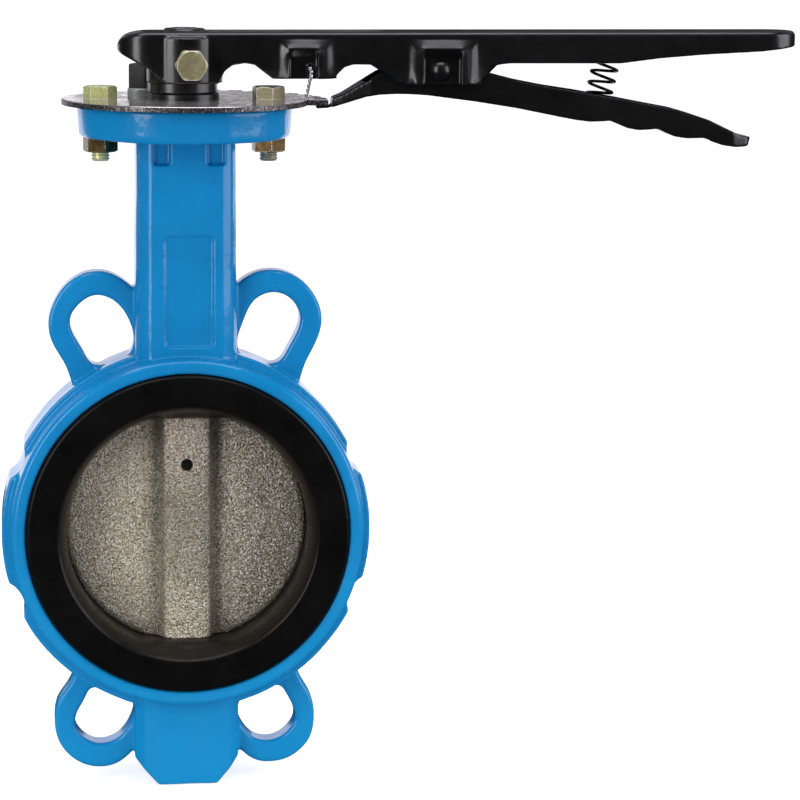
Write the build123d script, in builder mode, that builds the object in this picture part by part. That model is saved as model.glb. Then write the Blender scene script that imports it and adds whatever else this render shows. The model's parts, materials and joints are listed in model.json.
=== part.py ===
from build123d import *
import os
from math import sqrt

# Lever-operated wafer butterfly valve, nominal bore 100 mm, shown shut.
# Millimetres. The origin is the centre of the bore. Y is the pipe axis, with
# the front seat face towards -Y. +Z runs up the stem, and +X is the direction
# the lever points in when the valve is shut.

os.makedirs("parts", exist_ok=True)

# ---- fits, each a radial clearance
running = 0.05
close_fit = 0.03
bush_fit = 0.01

# ---- pipe end and seat
seat_face = 26.0            # half the face-to-face length of 52
body_face = 24.5            # half the width of the iron ring
ring_r = 74.6               # outer radius of the machined rim
ring_step = 0.7             # the rim swells by this towards the web
ring_chamfer = 1.6
web_r = 78.0                # outer radius of the middle web
web_half = 12.5
liner_r = 58.0              # bore of the iron ring, which holds the seat
groove_depth = 3.0          # groove that locates the seat's ridge
ridge_h = 2.9
lip_pocket_r = 68.5
lip_pocket_y = 18.0         # depth line of the pocket for the seat's lip
scallop_x, scallop_z, scallop_r = 80.8, 33.5, 12.4   # flange-bolt clearance
lower_scallop_shift = 0.6   # the lower pair stands this much further out
seat_bore_r = 51.6
seat_flat_z = 48.05         # flats that seal on the disc hub
lip_r = 68.3

# ---- disc
disc_r = 51.5               # spherical rim
disc_flat_z = 48.0
rim_half_y = 2.4            # half the width of the spherical rim
rib_half_y = 12.6
pin_z, pin_r, pin_half_y = 27.7, 2.5, 12.3

# ---- stem line
stem_r = 7.9
stem_bottom_z, stem_top_z = -97.0, 212.0
square_half = 5.5
square_low_z = 185.0
bush_r = 10.0
bush_bore_r = stem_r + running
stem_groove_r = 7.1
stem_groove_low_z, stem_groove_high_z = 173.9, 176.1

# ---- neck, top flange and notch plate
neck_low_z, neck_high_z = 60, 167
neck_panel_y = 19.5         # sketch plane of the cuts in the neck's faces
flange_low_z, flange_top_z = 166.5, 180.0
flange_r = 45.2
plate_t = 2.3
plate_r, notch_r = 51.6, 60.5
plate_top_z = flange_top_z + plate_t
bolt_pcd_r = 35.0           # bolt holes on the 70 mm pitch circle
bolt_hole_r = 4.5
bolt_x = 35.4               # two bolts, which lie against the outside of their holes
lug_half_y = 6.5
post_x, post_y = -17.4, 24.0
post_half = 4.1             # square stop post, turned a little on its collar
post_top_z = 195.6
collar_h = 2.9
post_thread_r = 3.0
head_h, nut_h = 5.3, 6.4
hex_half = 6.15             # M8 bolts with small heads
nut_hex_half = 6.5          # M8 nuts, 13 mm across flats
bolt_shank_r = 3.95

# ---- lever
web_t = 2.6
handle_half_y = 13.0
handle_start_x, handle_end_x = -28.2, 262.0
handle_cut_x = handle_end_x + 2     # side outlines run past the rounded end
handle_length = handle_end_x - handle_start_x
handle_mid_x = (handle_end_x + handle_start_x) / 2
pivot_x, pivot_z = 107.0, 195.0
pivot_r = 3.0
clamp_x, clamp_z = 1.8, 197.2
hub_r = 13.6
hub_low_z, hub_top_z = 185.05, 208.2
hub_square = 2 * (square_half + running)
collar_low_z = 189.2        # underside of the handle's collar round the hub


def save(builder, name):
    """Label a finished piece and write its STEP file."""
    builder.part.label = name
    export_step(builder.part, f"parts/{name}.step")


def mirrored(points):
    """The points, then their mirror images across the first axis, in reverse."""
    return points + [(x, -y) for x, y in reversed(points)]


def four_way(quarter):
    """Closed outline, symmetric both ways, from its +X -Y quarter."""
    right = mirrored(quarter)
    outline = right + [(-x, -y) for x, y in right]
    return outline[-1:] + outline[:-1]


def corner_cut(flat_x, end_z, inward):
    """Profile that, once revolved, chamfers the corners at one end of a hexagon.

    inward is the sign of the z direction into the metal.
    """
    return [
        (flat_x, end_z), (flat_x + 1.3, end_z + inward * 0.75),
        (flat_x + 1.3, end_z - inward * 0.5), (flat_x, end_z - inward * 0.5),
    ]


# =====================================================================
# BODY: one ductile-iron casting
# =====================================================================
with BuildPart() as bottom_boss:
    with BuildSketch(Plane.XY.offset(-50)):
        with BuildLine():
            Polyline(*four_way([(12.5, -17.5), (18.5, -14.5), (22.3, -8.0)]), close=True)
        make_face()
    extrude(amount=-62)
    # side view, with the bottom corners cut off
    with BuildSketch(Plane.XZ):
        with BuildLine():
            Polyline(
                (-23, -49), (-23, -101.0), (-12.5, -111.5), (12.5, -111.5),
                (23, -101.0), (23, -49), close=True,
            )
        make_face()
    extrude(amount=20, both=True, mode=Mode.INTERSECT)
    fillet(bottom_boss.edges().filter_by(Axis.Z), 1.2)

# (x, y) along one quarter of the neck's section, at its foot and at its top
neck_low_quarter = [(15.0, -18.3), (16.8, -17.3), (19.5, -14.8), (21.6, -9.5)]
neck_high_quarter = [(14.4, -17.6), (16.1, -16.7), (18.8, -14.4), (20.8, -9.5)]
with BuildPart() as neck:
    with BuildSketch(Plane.XY.offset(neck_low_z)):
        with BuildLine():
            Polyline(*four_way(neck_low_quarter), close=True)
        make_face()
    with BuildSketch(Plane.XY.offset(neck_high_z)):
        with BuildLine():
            Polyline(*four_way(neck_high_quarter), close=True)
        make_face()
    loft()
    fillet(neck.edges().filter_by(lambda e: abs(e.length) > 100), 0.5)
    for side in (-1, 1):
        # two wrench pockets under the flange
        with BuildSketch(Plane.XZ.offset(side * neck_panel_y)):
            with Locations((-10.6, 161.0), (12.0, 161.0)):
                RectangleRounded(7.4, 11.0, 1.2)
        extrude(amount=-side * 4.6, mode=Mode.SUBTRACT)
        # recessed name panel
        with BuildSketch(Plane.XZ.offset(side * neck_panel_y)):
            with Locations((0.8, 102.6)):
                RectangleRounded(20.5, 47.0, 1.5)
        extrude(amount=-side * 2.9, mode=Mode.SUBTRACT)

# Loop-shaped lugs beside the neck and the boss: the outer edge as an open
# line of (x, z), then the closed edge of the window.
lug_outlines = [
    (   # upper left
        [(-44, 50), (-49.0, 64.5), (-51.3, 70.7), (-55.0, 77.0), (-57.6, 83.2),
         (-57.9, 90.0), (-55.8, 96.7), (-50.8, 104.0), (-44.0, 108.6),
         (-36.5, 109.9), (-29.4, 108.0), (-24.0, 104.4), (-19.0, 98.0)],
        [(-22.9, 86.0), (-25.6, 92.2), (-30.4, 97.5), (-37.9, 99.8),
         (-45.0, 96.0), (-48.7, 89.6), (-47.2, 82.8), (-43.6, 76.6),
         (-39.6, 70.6), (-31.5, 70.8), (-23.6, 75.2)],
    ),
    (   # upper right
        [(44, 50), (49.3, 64.5), (51.4, 70.7), (54.6, 77.0), (57.3, 83.6),
         (58.0, 90.0), (55.9, 97.4), (50.8, 104.4), (44.0, 108.7),
         (36.5, 110.0), (29.4, 108.8), (23.6, 105.6), (19.0, 99.0)],
        [(22.9, 84.0), (25.4, 90.8), (30.0, 97.8), (37.9, 100.4),
         (44.9, 97.4), (48.6, 90.2), (47.0, 82.8), (43.6, 76.6),
         (39.6, 70.8), (31.5, 70.4), (23.4, 74.2)],
    ),
    (   # lower left
        [(-43, -50), (-48.6, -65.2), (-51.2, -70.2), (-54.9, -75.5),
         (-56.7, -82.0), (-56.6, -89.0), (-54.9, -95.0), (-50.4, -100.9),
         (-44.4, -104.7), (-37.5, -106.1), (-30.0, -104.6), (-24.5, -100.6),
         (-19.0, -94.0)],
        [(-22.8, -82.0), (-26.0, -89.4), (-31.6, -94.6), (-38.4, -95.7),
         (-44.4, -92.6), (-47.9, -86.8), (-46.6, -80.6), (-43.8, -75.6),
         (-41.4, -71.5), (-33.0, -72.6), (-24.2, -76.4)],
    ),
    (   # lower right
        [(43, -50), (48.6, -66.0), (51.0, -71.2), (54.0, -76.4),
         (55.5, -82.4), (55.5, -89.0), (53.5, -96.2), (48.6, -101.7),
         (43.0, -104.8), (36.5, -105.9), (29.8, -104.8), (24.2, -101.0),
         (19.0, -94.4)],
        [(22.4, -82.6), (25.0, -90.2), (30.6, -95.4), (37.4, -96.1),
         (43.8, -92.4), (47.2, -86.4), (45.9, -80.4), (43.4, -75.6),
         (41.0, -72.2), (33.0, -73.6), (23.6, -77.4)],
    ),
]


def make_lug(outer, window):
    """One lug, carried in to x = 0 so that it merges with the body."""
    with BuildPart() as lug:
        with BuildSketch(Plane.XZ):
            with BuildLine():
                Spline(*outer)
                Line(outer[-1], (0, outer[-1][1]))
                Line((0, outer[-1][1]), (0, outer[0][1]))
                Line((0, outer[0][1]), outer[0])
            make_face()
            with BuildLine():
                Spline(*window, periodic=True)
            make_face(mode=Mode.SUBTRACT)
        extrude(amount=lug_half_y, both=True)
        # only the long edges of the two flat faces
        fillet(
            lug.edges().filter_by(
                lambda e: abs(abs(e.center().Y) - lug_half_y) < 0.01
                and e.length > 60
            ),
            1.8,
        )
    return lug.part


lug_parts = [make_lug(outer, window) for outer, window in lug_outlines]

# (radius, y) of half the ring's outside, and of half the cut for the seat
ring_half_profile = [
    (50, -body_face), (ring_r - ring_chamfer, -body_face),
    (ring_r, -body_face + ring_chamfer), (ring_r + ring_step, -web_half),
]
seat_cut_half_profile = [
    (0, -body_face - 1), (lip_pocket_r + 0.2, -body_face - 1),
    (lip_pocket_r, -lip_pocket_y), (liner_r, -lip_pocket_y),
    (liner_r, -5.05), (liner_r + groove_depth, -4.05),
]
# (radius, start z, length) of the round cuts along the stem line
stem_line_cuts = [
    (8.6, 40, 150),                     # clearance between the bushes
    (bush_r + bush_fit, 40, 42),        # middle bush
    (bush_r + bush_fit, 138, 45),       # upper bush
    (12.0, 172, 10),                    # recess for the retaining washer
    (12.9, 176.2, 1.3),                 # circlip groove
    (bush_r + bush_fit, -100, 55),      # lower bush
]
lower_scallop_x = scallop_x + lower_scallop_shift

with BuildPart() as valve_body:
    # rim with a stepped outside, and the web that stands out from its middle
    with BuildSketch(Plane.XY):
        with BuildLine():
            Polyline(*mirrored(ring_half_profile), close=True)
        make_face()
    revolve(axis=Axis.Y)
    with BuildSketch(Plane.XZ):
        Circle(web_r)
        with Locations((0, -1.2)):
            Circle(web_r + 0.6)
        with Locations((scallop_x, scallop_z), (-scallop_x, scallop_z),
                       (lower_scallop_x, -scallop_z), (-lower_scallop_x, -scallop_z)):
            Circle(scallop_r, mode=Mode.SUBTRACT)
    extrude(amount=web_half, both=True)
    add(bottom_boss.part)
    add(neck.part)
    for lug_part in lug_parts:
        add(lug_part)
    # mounting flange for the lever plate, with a little draft
    with BuildSketch(Plane.XZ):
        with BuildLine():
            Polyline(
                (0, flange_low_z), (flange_r - 2.0, flange_low_z),
                (flange_r - 0.8, flange_low_z + 1.2), (flange_r, flange_top_z - 0.8),
                (flange_r - 0.8, flange_top_z), (0, flange_top_z), close=True,
            )
        make_face()
    revolve(axis=Axis.Z)
    # the bore for the seat, its locating groove and the two lip pockets
    with BuildSketch(Plane.XY):
        with BuildLine():
            Polyline(*mirrored(seat_cut_half_profile), close=True)
        make_face()
    revolve(axis=Axis.Y, mode=Mode.SUBTRACT)
    for cut_r, start_z, length in stem_line_cuts:
        with BuildSketch(Plane.XY.offset(start_z)):
            Circle(cut_r)
        extrude(amount=length, mode=Mode.SUBTRACT)
    # four bolt holes on the 70 mm pitch circle
    with BuildSketch(Plane.XY.offset(flange_low_z - 1)):
        with PolarLocations(bolt_pcd_r, 4):
            Circle(bolt_hole_r)
    extrude(amount=16, mode=Mode.SUBTRACT)
    # blind hole for the stop post
    with BuildSketch(Plane.XY.offset(flange_top_z - 11)):
        with Locations((post_x, post_y)):
            Circle(post_thread_r + 0.05)
    extrude(amount=12, mode=Mode.SUBTRACT)
save(valve_body, "valve_body")

# =====================================================================
# SEAT: one EPDM liner with lips over both faces
# =====================================================================
flare_start, flare_end = (51.25, -15.5), (54.9, -25.7)
# (y, z) of the cut that makes the upper flat round the stem hole
flat_outline = [
    (-21.0, 53.2), (-19.2, 51.0), (-17.6, 49.0), (-16.2, seat_flat_z),
    (16.2, seat_flat_z), (17.6, 49.0), (19.2, 51.0), (21.0, 53.2),
    (21.0, 54.5), (-21.0, 54.5),
]
with BuildPart() as seat_liner:
    # the front half of the section, as (radius, y), then its mirror image
    with BuildSketch(Plane.XY):
        with BuildLine():
            Polyline((seat_bore_r, 0), (seat_bore_r, -6.0), flare_start)
            ThreePointArc(flare_start, (52.3, -21.5), flare_end)
            Polyline(
                flare_end, (55.6, -seat_face), (67.4, -seat_face), (lip_r, -25.1),
                (lip_r, -lip_pocket_y - running),
                (liner_r - running, -lip_pocket_y - running),
                (liner_r - running, -4.9), (liner_r + ridge_h, -3.9),
                (liner_r + ridge_h, 0), (seat_bore_r, 0),
            )
        make_face()
        mirror(about=Plane.XZ)
    revolve(axis=Axis.Y)
    # Both flat outlines are added: they fill the bore out to the flats.
    with BuildSketch(Plane.YZ):
        for side in (1, -1):
            with BuildLine():
                Polyline(*[(y, side * z) for y, z in flat_outline], close=True)
            make_face()
    extrude(amount=19, both=True)
    with BuildSketch(Plane.XY.offset(-70)):
        Circle(stem_r + running)
    extrude(amount=140, mode=Mode.SUBTRACT)
save(seat_liner, "seat_liner")

# =====================================================================
# DISC: cast iron, spherical rim, hub rib along the stem
# =====================================================================
rim_x = sqrt(disc_r**2 - rim_half_y**2)
# (x, y) down one flank of the rib, from the plate to the crest
flank = [(18.0, 3.4), (13.3, 5.6), (11.1, 8.2), (9.9, 10.9),
         (7.2, rib_half_y - 0.2), (4.0, rib_half_y)]
with BuildPart() as disc:
    with BuildSketch(Plane.XY):
        with BuildLine():
            Spline((0, -6.0), (30, -5.5), (49.2, -3.9), tangents=[(1, 0), (1, 0.16)])
            Line((49.2, -3.9), (rim_x, -rim_half_y))
            ThreePointArc((rim_x, -rim_half_y), (disc_r, 0), (rim_x, rim_half_y))
            Line((rim_x, rim_half_y), (49.2, 3.9))
            Spline((49.2, 3.9), (30, 5.5), (0, 6.0), tangents=[(-1, 0.16), (-1, 0)])
            Line((0, 6.0), (0, -6.0))
        make_face()
    revolve(axis=Axis.Y)
    # hub rib along the stem, flared into the plate on both sides
    with BuildSketch(Plane.XY.offset(-55)):
        with BuildLine():
            Spline(*flank)
            Line((4.0, rib_half_y), (-4.0, rib_half_y))
            Spline(*[(-x, y) for x, y in reversed(flank)])
            Line((-18.0, 3.4), (-18.0, -3.4))
            Spline(*[(-x, -y) for x, y in flank])
            Line((-4.0, -rib_half_y), (4.0, -rib_half_y))
            Spline(*[(x, -y) for x, y in reversed(flank)])
            Line((18.0, -3.4), (18.0, 3.4))
        make_face()
    extrude(amount=110)
    # flat hub ends, then everything kept inside the rim's sphere
    with BuildSketch(Plane.XZ):
        Rectangle(120, 2 * disc_flat_z)
    extrude(amount=20, both=True, mode=Mode.INTERSECT)
    with BuildSketch(Plane.XY):
        with BuildLine():
            ThreePointArc((0, -disc_r), (disc_r, 0), (0, disc_r))
            Line((0, disc_r), (0, -disc_r))
        make_face()
    revolve(axis=Axis.Y, mode=Mode.INTERSECT)
    # stem hole and cross-pin hole
    with BuildSketch(Plane.XY.offset(-60)):
        Circle(stem_r + close_fit)
    extrude(amount=120, mode=Mode.SUBTRACT)
    with BuildSketch(Plane.XZ):
        with Locations((0, pin_z)):
            Circle(pin_r + close_fit)
    extrude(amount=20, both=True, mode=Mode.SUBTRACT)
save(disc, "disc")

with BuildPart() as disc_pin:
    with BuildSketch(Plane.XZ.offset(-pin_half_y)):
        with Locations((0, pin_z)):
            Circle(pin_r)
    extrude(amount=2 * pin_half_y)
    chamfer(disc_pin.edges(), 0.3)
save(disc_pin, "disc_pin")

# =====================================================================
# STEM and what holds it
# =====================================================================
with BuildPart() as stem:
    with BuildSketch(Plane.XZ):
        with BuildLine():
            Polyline(
                (0, stem_bottom_z), (stem_r - 1.0, stem_bottom_z),
                (stem_r, stem_bottom_z + 1.0), (stem_r, stem_groove_low_z),
                (stem_groove_r, stem_groove_low_z), (stem_groove_r, stem_groove_high_z),
                (stem_r, stem_groove_high_z), (stem_r, 184.6), (7.0, 184.9),
                (7.0, stem_top_z - 1.0), (6.0, stem_top_z), (0, stem_top_z),
                close=True,
            )
        make_face()
    revolve(axis=Axis.Z)
    # square drive for the lever hub
    with BuildSketch(Plane.XY.offset(square_low_z)):
        Circle(12)
        Rectangle(2 * square_half, 2 * square_half, mode=Mode.SUBTRACT)
    extrude(amount=30, mode=Mode.SUBTRACT)
    with BuildSketch(Plane.XZ):
        with Locations((0, pin_z)):
            Circle(pin_r + close_fit)
    extrude(amount=20, both=True, mode=Mode.SUBTRACT)
save(stem, "stem")

for bush_name, low_z, high_z in (
    ("upper_bush", 143.0, 171.8),
    ("middle_bush", 61.5, 81.5),
    ("lower_bush", -96.0, -61.5),
):
    with BuildPart() as bush:
        with BuildSketch(Plane.XY.offset(low_z)):
            Circle(bush_r)
            Circle(bush_bore_r, mode=Mode.SUBTRACT)
        extrude(amount=high_z - low_z)
    save(bush, bush_name)

o_ring_section = 1.02       # radius of the rubber
with BuildPart() as stem_o_rings:
    for o_ring_z in (139.2, 141.6):
        with BuildSketch(Plane.XZ):
            with Locations((stem_r + 0.02 + o_ring_section, o_ring_z)):
                Circle(o_ring_section)
        revolve(axis=Axis.Z)
save(stem_o_rings, "stem_o_rings")

# slotted retaining washer in the stem's groove, under the body's circlip
retainer_slot_r = 7.2
with BuildPart() as stem_retainer:
    with BuildSketch(Plane.XY.offset(174.05)):
        Circle(11.6)
        Circle(retainer_slot_r, mode=Mode.SUBTRACT)
        with Locations((0, 8)):
            Rectangle(2 * retainer_slot_r, 16, mode=Mode.SUBTRACT)
    extrude(amount=1.9)
save(stem_retainer, "stem_retainer")

# circlip, open towards +Y with a holed ear on each side of the gap
ear_places = [(-5.0, 9.2), (5.0, 9.2)]
with BuildPart() as stem_circlip:
    with BuildSketch(Plane.XY.offset(176.3)):
        Circle(12.7)
        Circle(10.4, mode=Mode.SUBTRACT)
        with BuildLine():
            Polyline((0, 0), (-5.2, 15), (5.2, 15), close=True)
        make_face(mode=Mode.SUBTRACT)
        with Locations(*ear_places):
            Circle(1.9)
        with Locations(*ear_places):
            Circle(0.8, mode=Mode.SUBTRACT)
    extrude(amount=1.1)
save(stem_circlip, "stem_circlip")

# =====================================================================
# LEVER PLATE, with ten positions ten degrees apart, and its fasteners
# =====================================================================
notch_count, notch_step = 10, 10
notch_floor_r, notch_cut_r = 55.2, 62.0     # each cut runs out past the rim
notch_width = 4.6
sector_start, sector_sweep = -9, 108
with BuildPart() as notch_plate:
    with BuildSketch(Plane.XY.offset(flange_top_z)):
        Circle(plate_r)
        with BuildLine():
            sector_rim = CenterArc((0, 0), notch_r, sector_start, sector_sweep)
            Line((0, 0), sector_rim @ 0)
            Line(sector_rim @ 1, (0, 0))
        make_face()
        with PolarLocations((notch_floor_r + notch_cut_r) / 2, notch_count,
                            angular_range=notch_count * notch_step):
            Rectangle(notch_cut_r - notch_floor_r, notch_width, mode=Mode.SUBTRACT)
        Circle(10.5, mode=Mode.SUBTRACT)
        with Locations((-bolt_pcd_r, 0), (bolt_pcd_r, 0)):
            Circle(bolt_hole_r, mode=Mode.SUBTRACT)
        with Locations((post_x, post_y)):
            Circle(post_thread_r + 0.3, mode=Mode.SUBTRACT)
    extrude(amount=plate_t)
    chamfer(notch_plate.faces().sort_by(Axis.Z)[-1].outer_wire().edges(), 0.25)
save(notch_plate, "notch_plate")

thread_top_z, bolt_low_z = 160.9, 156.2
thread_pitch = 1.25


def bolt_profile(centre_x):
    """(x, z) of half a bolt's shank, with three thread ridges near its end."""
    shank_x = centre_x + bolt_shank_r
    root_x = centre_x + 3.35
    points = [(centre_x, plate_top_z + 0.5), (shank_x, plate_top_z + 0.5),
              (shank_x, thread_top_z)]
    for ridge in range(3):
        z = thread_top_z - thread_pitch * ridge
        points += [(root_x, z - 0.55), (root_x, z - 0.70), (shank_x, z - 1.20)]
    return points + [(centre_x + 3.2, bolt_low_z), (centre_x, bolt_low_z)]


# hex-head bolts: chamfered head, plain shank, rolled thread on the free end
with BuildPart() as plate_bolts:
    for centre_x, turn in ((-bolt_x, 24), (bolt_x, 10)):
        with BuildSketch(Plane.XY.offset(plate_top_z)):
            with Locations(Location((centre_x, 0, 0), (0, 0, turn))):
                RegularPolygon(hex_half, 6, major_radius=False, rotation=30)
        extrude(amount=head_h)
        with BuildSketch(Plane.XZ):
            with BuildLine():
                Polyline(*corner_cut(centre_x + hex_half, plate_top_z + head_h, -1),
                         close=True)
            make_face()
        revolve(axis=Axis((centre_x, 0, 0), (0, 0, 1)), mode=Mode.SUBTRACT)
        with BuildSketch(Plane.XZ):
            with BuildLine():
                Polyline(*bolt_profile(centre_x), close=True)
            make_face()
        revolve(axis=Axis((centre_x, 0, 0), (0, 0, 1)))
save(plate_bolts, "plate_bolts")

with BuildPart() as plate_nuts:
    for centre_x, turn in ((-bolt_x, 14), (bolt_x, 6)):
        with BuildSketch(Plane.XY.offset(flange_low_z - nut_h)):
            with Locations(Location((centre_x, 0, 0), (0, 0, turn))):
                RegularPolygon(nut_hex_half, 6, major_radius=False, rotation=30)
            with Locations((centre_x, 0)):
                Circle(4.0, mode=Mode.SUBTRACT)
        extrude(amount=nut_h)
        for end_z, inward in ((flange_low_z - nut_h, 1), (flange_low_z, -1)):
            with BuildSketch(Plane.XZ):
                with BuildLine():
                    Polyline(*corner_cut(centre_x + nut_hex_half, end_z, inward),
                             close=True)
                make_face()
            revolve(axis=Axis((centre_x, 0, 0), (0, 0, 1)), mode=Mode.SUBTRACT)
save(plate_nuts, "plate_nuts")

with BuildPart() as stop_washer:
    with BuildSketch(Plane.XY.offset(plate_top_z)):
        with Locations((post_x, post_y)):
            Circle(5.7)
            Circle(post_thread_r + 0.2, mode=Mode.SUBTRACT)
    extrude(amount=collar_h)
    fillet(stop_washer.faces().sort_by(Axis.Z)[-1].outer_wire().edges(), 0.9)
save(stop_washer, "stop_washer")

with BuildPart() as stop_post:
    with BuildSketch(Plane.XY.offset(plate_top_z + collar_h)):
        with Locations((post_x, post_y)):
            Rectangle(2 * post_half, 2 * post_half, rotation=-24)
    extrude(amount=post_top_z - plate_top_z - collar_h)
    fillet(stop_post.edges().filter_by(Axis.Z), 0.9)
    chamfer(stop_post.faces().sort_by(Axis.Z)[-1].outer_wire().edges(), 0.5)
    # round shank, down through the washer and plate into the flange
    with BuildSketch(Plane.XY.offset(flange_top_z - 10)):
        with Locations((post_x, post_y)):
            Circle(post_thread_r)
    extrude(amount=16.5)
save(stop_post, "stop_post")

with BuildPart() as hub_spacer:
    with BuildSketch(Plane.XY.offset(plate_top_z)):
        Circle(14.5)
        Circle(8.1, mode=Mode.SUBTRACT)
    extrude(amount=2.6)
    chamfer(hub_spacer.faces().sort_by(Axis.Z)[-1].outer_wire().edges(), 0.4)
save(hub_spacer, "hub_spacer")

# =====================================================================
# LEVER: hub, pressed channel handle, clamp bolt
# =====================================================================
with BuildPart() as lever_hub:
    with BuildSketch(Plane.XY.offset(hub_low_z)):
        Circle(hub_r)
        Rectangle(hub_square, hub_square, mode=Mode.SUBTRACT)
    extrude(amount=hub_top_z - hub_low_z)
    # wider foot under the handle's collar
    with BuildSketch(Plane.XY.offset(hub_low_z)):
        with Locations((-0.8, 0)):
            Circle(14.6)
        Rectangle(hub_square, hub_square, mode=Mode.SUBTRACT)
    extrude(amount=collar_low_z - 0.1 - hub_low_z)
    chamfer(lever_hub.faces().sort_by(Axis.Z)[0].outer_wire().edges(), 0.5)
    with BuildSketch(Plane.XZ):
        with Locations((clamp_x, clamp_z)):
            Circle(4.0)
    extrude(amount=20, mode=Mode.SUBTRACT)
save(lever_hub, "lever_hub")

# the handle's hollow: everything under the web, inside the walls
with BuildPart() as handle_inner:
    with BuildSketch(Plane.XZ):
        with BuildLine():
            Polyline(
                (-30, 180), (-30, 203.2), (-24.0, 206.4), (-14.0, 207.9),
                (30.0, 208.5), (handle_cut_x, 209.2), (handle_cut_x, 180),
                close=True,
            )
        make_face()
    extrude(amount=20, both=True)
    with BuildSketch(Plane.XY.offset(170)):
        with Locations((handle_mid_x, 0)):
            SlotOverall(handle_length - 2 * web_t, 2 * (handle_half_y - web_t))
    extrude(amount=60, mode=Mode.INTERSECT)

# (x, z) along the handle's lower edge, from the hub end to the grip end
handle_under = [
    (handle_start_x, 204.6), (handle_start_x, 202.4), (-26.4, 200.9), (-15.9, 195.3),
    (-11.0, 191.6), (-5.0, collar_low_z), (13.6, collar_low_z),
    (16.0, 194.4), (19.2, 196.9), (24.5, 197.8), (28.6, 197.1),
    (32.5, 194.1), (36.2, 191.3), (61.4, 191.4), (66.4, 196.3), (70.2, 197.4),
    (77.6, 197.3), (81.5, 195.0), (91.4, 189.0), (121.4, 189.0), (126.9, 192.9),
    (130.8, 197.3), (136.0, 198.0), (184.0, 198.1), (201.0, 200.3),
    (220.0, 201.9), (245.0, 203.3), (handle_cut_x, 205.5),
]
# swellings of the cheeks: low x, high x, low z, then the pocket's low and high x
swellings = [
    (37.0, 63.0, 191.4, 42.8, 54.8),
    (91.6, 124.2, 189.0, 99.4, 115.4),
]
with BuildPart() as handle:
    with BuildSketch(Plane.XZ):
        with BuildLine():
            Line((handle_cut_x, 205.5), (handle_cut_x, 211.9))
            Line((handle_cut_x, 211.9), (-12.0, 210.6))
            Spline(
                (-12.0, 210.6), (-20.5, 210.1), (-25.8, 208.2), (handle_start_x, 204.6),
                tangents=[(-1, -0.003), (-0.35, -1)],
            )
            Polyline(*handle_under)
        make_face()
    extrude(amount=20, both=True)
    with BuildSketch(Plane.XY.offset(170)):
        with Locations((handle_mid_x, 0)):
            SlotOverall(handle_length, 2 * handle_half_y)
    extrude(amount=60, mode=Mode.INTERSECT)
    top_rim = handle.edges().filter_by(
        lambda e: e.center().Z > 206 and e.length > 8
    )
    fillet(top_rim, 2.2)
    # two swellings on each cheek, each with a pocket in it
    for side in (-1, 1):
        for low_x, high_x, low_z, pocket_low_x, pocket_high_x in swellings:
            with BuildSketch(Plane.XY.offset(low_z)):
                with BuildLine():
                    Spline(
                        (low_x, side * 12.5), (low_x + 1.6, side * 13.2),
                        (low_x + 4.6, side * 15.7), (low_x + 7.2, side * 16.1),
                        (high_x - 7.2, side * 16.1), (high_x - 4.6, side * 15.7),
                        (high_x - 1.6, side * 13.2), (high_x, side * 12.5),
                    )
                    Line((high_x, side * 12.5), (low_x, side * 12.5))
                make_face()
            extrude(amount=207.5 - low_z)
            # sloping roof of the swelling
            with BuildSketch(Plane.YZ.offset(low_x - 2)):
                with BuildLine():
                    Polyline(
                        (side * 13.0, 208.4), (side * 17.0, 201.8),
                        (side * 17.0, 209.0), close=True,
                    )
                make_face()
            extrude(amount=high_x - low_x + 4, mode=Mode.SUBTRACT)
            # pocket, open below
            with BuildSketch(Plane.YZ.offset(pocket_low_x)):
                with BuildLine():
                    Polyline(
                        (side * 13.0, 180.0), (side * 13.0, 200.2),
                        (side * 17.2, 206.0), (side * 17.2, 180.0), close=True,
                    )
                make_face()
            extrude(amount=pocket_high_x - pocket_low_x, mode=Mode.SUBTRACT)
    add(handle_inner.part, mode=Mode.SUBTRACT)
    # the collar that holds the hub
    with BuildSketch(Plane.XY.offset(collar_low_z)):
        Circle(16.0)
    extrude(amount=208.4 - collar_low_z)
    with BuildSketch(Plane.XY.offset(180)):
        Circle(hub_r + running)
    extrude(amount=hub_top_z + 0.1 - 180, mode=Mode.SUBTRACT)
    # boss round the stem's end
    with BuildSketch(Plane.XY.offset(209.5)):
        Circle(8.5)
    extrude(amount=2.4)
    with BuildSketch(Plane.XY.offset(200)):
        Circle(7.1)
    extrude(amount=20, mode=Mode.SUBTRACT)
    # clamp bolt hole, in the front cheek only
    with BuildSketch(Plane.XZ):
        with Locations((clamp_x, clamp_z)):
            Circle(4.3)
    extrude(amount=20, mode=Mode.SUBTRACT)
    # trigger pin hole and lock wire hole, through both cheeks
    with BuildSketch(Plane.XZ):
        with Locations((pivot_x, pivot_z)):
            Circle(pivot_r + close_fit)
        with Locations((51.6, 196.2)):
            Circle(1.5)
    extrude(amount=20, both=True, mode=Mode.SUBTRACT)
save(handle, "handle")

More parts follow.
